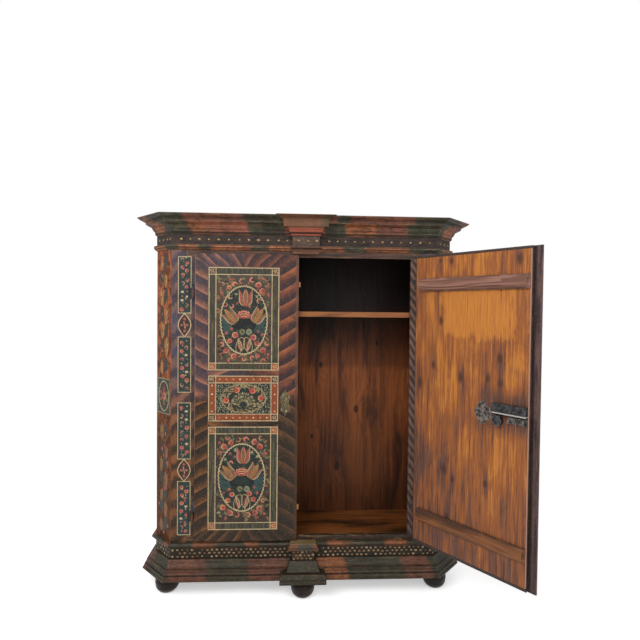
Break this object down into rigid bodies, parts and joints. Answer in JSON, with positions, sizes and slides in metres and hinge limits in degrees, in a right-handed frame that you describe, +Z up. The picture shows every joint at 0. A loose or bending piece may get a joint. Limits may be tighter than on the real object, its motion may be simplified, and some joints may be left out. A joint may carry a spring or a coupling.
{
  "type": "painted wardrobe",
  "caption": "Painted two-door country wardrobe with canted corners, moulded cornice and plinth, ball feet, lipped board doors on lift-off hinges, a shelf and a rim lock.",
  "frame": {"origin": "on the floor at the centre foot's sole, in the plane of the case's front face and on its middle line", "axes": "+X to the viewer's right, +Y into the case, +Z up"},
  "size_m": [1.8181, 0.8869, 1.9],
  "materials": {
    "painted_pine": "old oil paint in dark green, red-brown and orange on pine, worn",
    "raw_pine": "bare pine with dark patina",
    "dark_turned_wood": "dark stained turned wood",
    "forged_iron": "forged iron, dark with wear",
    "old_brass": "dull old brass"
  },
  "bodies": {
    "carcase": {"plinth_board_front": "painted_pine", "plinth_board_left": "painted_pine", "plinth_board_right": "painted_pine", "plinth_back_rail": "raw_pine", "floor_boards": "raw_pine", "plinth_cap_front": "painted_pine", "plinth_cap_left": "painted_pine", "plinth_cap_right": "painted_pine", "base_moulding_front": "painted_pine", "base_moulding_left": "painted_pine", "base_moulding_right": "painted_pine", "foot_front_left": "dark_turned_wood", "foot_front_right": "dark_turned_wood", "foot_centre": "dark_turned_wood", "feet_rear": "dark_turned_wood", "cant_board_left": "painted_pine", "side_board_left": "painted_pine", "front_stile_left": "painted_pine", "cant_board_right": "painted_pine", "side_board_right": "painted_pine", "front_stile_right": "painted_pine", "bottom_rail": "painted_pine", "head_rail": "painted_pine", "back_boards": "raw_pine", "shelf": "raw_pine", "shelf_cleats": "raw_pine", "frieze_board_front": "painted_pine", "frieze_board_left": "painted_pine", "frieze_board_right": "painted_pine", "crown_back_rail": "raw_pine", "roof_boards": "raw_pine", "cornice_cap_front": "painted_pine", "cornice_cap_left": "painted_pine", "cornice_cap_right": "painted_pine", "cavetto_front": "painted_pine", "cavetto_left": "painted_pine", "cavetto_right": "painted_pine", "architrave_front": "painted_pine", "architrave_left": "painted_pine", "architrave_right": "painted_pine", "crown_centre_block": "painted_pine", "plinth_centre_block": "painted_pine", "frame_hinges": "forged_iron"},
    "left_door": {"left_door_boards": "painted_pine", "left_door_batten_top": "raw_pine", "left_door_batten_bottom": "raw_pine", "left_door_hinges": "forged_iron", "left_door_escutcheon": "old_brass", "left_door_irons": "forged_iron"},
    "right_door": {"right_door_boards": "painted_pine", "right_door_batten_top": "raw_pine", "right_door_batten_bottom": "raw_pine", "right_door_lesene": "painted_pine", "right_door_hinges": "forged_iron", "right_door_escutcheon": "old_brass", "lock_case": "forged_iron", "lock_plate": "old_brass"},
    "top_bolt": {"left_door_top_bolt": "forged_iron"},
    "bottom_bolt": {"left_door_bottom_bolt": "forged_iron"},
    "lock_slide": {"lock_bolt": "forged_iron"}
  },
  "joints": [
    {"name": "left_door_hinge", "type": "hinge", "parent": "carcase", "child": "left_door", "pos_m": [-0.558, -0.008, 0.9], "axis": [0, 0, -1], "range_deg": [0, 130]},
    {"name": "right_door_hinge", "type": "hinge", "parent": "carcase", "child": "right_door", "pos_m": [0.558, -0.008, 0.9], "axis": [0, 0, 1], "range_deg": [-129.1, 25]},
    {"name": "top_bolt_slide", "type": "slide", "parent": "left_door", "child": "top_bolt", "axis": [0, 0, 1], "range_m": [0, 0.016]},
    {"name": "bottom_bolt_slide", "type": "slide", "parent": "left_door", "child": "bottom_bolt", "axis": [0, 0, -1], "range_m": [0, 0.02]},
    {"name": "lock_bolt_slide", "type": "slide", "parent": "right_door", "child": "lock_slide", "axis": [0.6307, -0.776, 0], "range_m": [0, 0.018]}
  ]
}
